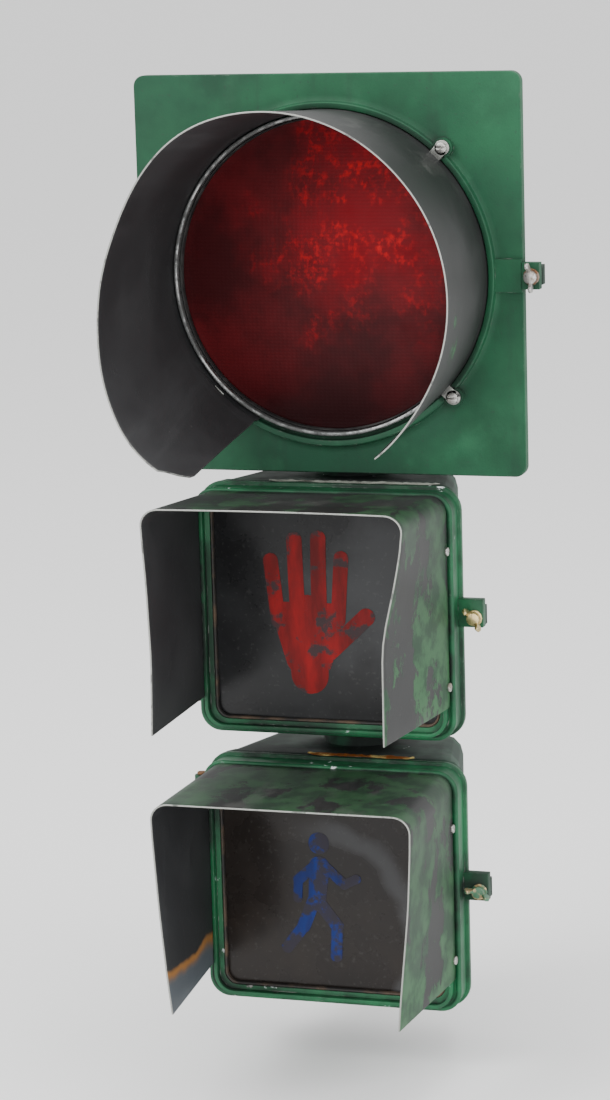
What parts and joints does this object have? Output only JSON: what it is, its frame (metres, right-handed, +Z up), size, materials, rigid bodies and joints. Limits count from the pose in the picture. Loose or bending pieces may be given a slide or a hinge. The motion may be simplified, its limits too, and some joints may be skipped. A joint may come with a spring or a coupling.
{
  "type": "pedestrian traffic light",
  "caption": "Hanging pedestrian signal: a round red section over square wait and walk sections, cast housings with hinged visored doors and wing-screw latches.",
  "frame": {"origin": "centre of the top hub's flat face, where the supply pipe holds the signal", "axes": "+X to the viewer's right, +Y from the lenses into the housings, +Z up along the pipe hubs"},
  "size_m": [0.3821, 0.3592, 0.8819],
  "materials": {
    "green_paint": "matte",
    "charcoal_paint": "satin",
    "rubber": "matte",
    "steel": "satin",
    "aluminium": "satin",
    "brass": "satin",
    "green_brass": "matte",
    "mirror": "polished",
    "ceramic": "gloss",
    "lamp_glass": "gloss",
    "red_glass": "gloss",
    "dark_glass": "gloss",
    "bakelite": "satin",
    "lead_insulation": "matte"
  },
  "bodies": {
    "housings": {"red_housing": "green_paint", "red_reflector": "mirror", "red_lamp": "lamp_glass", "red_lamp_socket": "ceramic", "red_hinge_pin_upper": "steel", "red_hinge_pin_lower": "steel", "wait_housing": "green_paint", "wait_reflector": "mirror", "wait_lamp": "lamp_glass", "wait_lamp_socket": "ceramic", "wait_hinge_pin_upper": "steel", "wait_hinge_pin_lower": "steel", "walk_housing": "green_paint", "walk_reflector": "mirror", "walk_lamp": "lamp_glass", "walk_lamp_socket": "ceramic", "walk_hinge_pin_upper": "steel", "walk_hinge_pin_lower": "steel", "upper_coupling_ring": "aluminium", "upper_nipple": "steel", "upper_lock_nut": "steel", "lower_coupling_ring": "aluminium", "lower_nipple": "steel", "lower_lock_nut": "steel", "closure_cap": "aluminium", "terminal_block": "bakelite", "red_lamp_lead": "lead_insulation", "wait_lamp_lead": "lead_insulation", "walk_lamp_lead": "lead_insulation"},
    "red_door": {"red_door": "green_paint", "red_door_seal": "rubber", "red_visor": "charcoal_paint", "red_lens_bezel": "aluminium", "red_lens_gasket": "rubber", "red_lens": "red_glass", "red_lens_retainer": "steel", "red_visor_screw_1": "steel", "red_visor_screw_2": "steel", "red_visor_screw_3": "steel", "red_visor_screw_4": "steel"},
    "wait_door": {"wait_door": "green_paint", "wait_door_seal": "rubber", "wait_visor": "charcoal_paint", "wait_lens_gasket": "rubber", "wait_lens": "dark_glass", "wait_lens_retainer": "steel"},
    "walk_door": {"walk_door": "green_paint", "walk_door_seal": "rubber", "walk_visor": "charcoal_paint", "walk_lens_gasket": "rubber", "walk_lens": "dark_glass", "walk_lens_retainer": "steel"},
    "red_latch_washer": {"red_latch_washer": "brass"},
    "red_wing_screw": {"red_wing_screw": "steel"},
    "wait_latch_washer": {"wait_latch_washer": "brass"},
    "wait_wing_screw": {"wait_wing_screw": "brass"},
    "walk_latch_washer": {"walk_latch_washer": "brass"},
    "walk_wing_screw": {"walk_wing_screw": "green_brass"}
  },
  "joints": [
    {"name": "red_door_hinge", "type": "hinge", "parent": "housings", "child": "red_door", "pos_m": [-0.1755, -0.0435, -0.1742], "axis": [0, 0, -1], "range_deg": [0, 110]},
    {"name": "red_screw_travel", "type": "slide", "parent": "red_door", "child": "red_latch_washer", "axis": [0, -1, 0], "range_m": [0, 0.0121]},
    {"name": "red_screw_turn", "type": "hinge", "parent": "red_latch_washer", "child": "red_wing_screw", "pos_m": [0.1915, -0.065, -0.1742], "axis": [0, -1, 0], "range_deg": [0, 2880]},
    {"name": "wait_door_hinge", "type": "hinge", "parent": "housings", "child": "wait_door", "pos_m": [-0.1355, -0.0725, -0.4819], "axis": [0, 0, -1], "range_deg": [0, 110]},
    {"name": "wait_screw_travel", "type": "slide", "parent": "wait_door", "child": "wait_latch_washer", "axis": [0, -1, 0], "range_m": [0, 0.0121]},
    {"name": "wait_screw_turn", "type": "hinge", "parent": "wait_latch_washer", "child": "wait_wing_screw", "pos_m": [0.138, -0.085, -0.4844], "axis": [0, -1, 0], "range_deg": [0, 2880]},
    {"name": "walk_door_hinge", "type": "hinge", "parent": "housings", "child": "walk_door", "pos_m": [-0.1355, -0.0725, -0.7411], "axis": [0, 0, -1], "range_deg": [0, 110]},
    {"name": "walk_screw_travel", "type": "slide", "parent": "walk_door", "child": "walk_latch_washer", "axis": [0, -1, 0], "range_m": [0, 0.0121]},
    {"name": "walk_screw_turn", "type": "hinge", "parent": "walk_latch_washer", "child": "walk_wing_screw", "pos_m": [0.138, -0.085, -0.7436], "axis": [0, -1, 0], "range_deg": [0, 2880]}
  ],
  "couplings": [
    {"joint": "red_screw_travel", "follows": "red_screw_turn", "m_per_rad": 0.00023873},
    {"joint": "wait_screw_travel", "follows": "wait_screw_turn", "m_per_rad": 0.00023873},
    {"joint": "walk_screw_travel", "follows": "walk_screw_turn", "m_per_rad": 0.00023873}
  ]
}
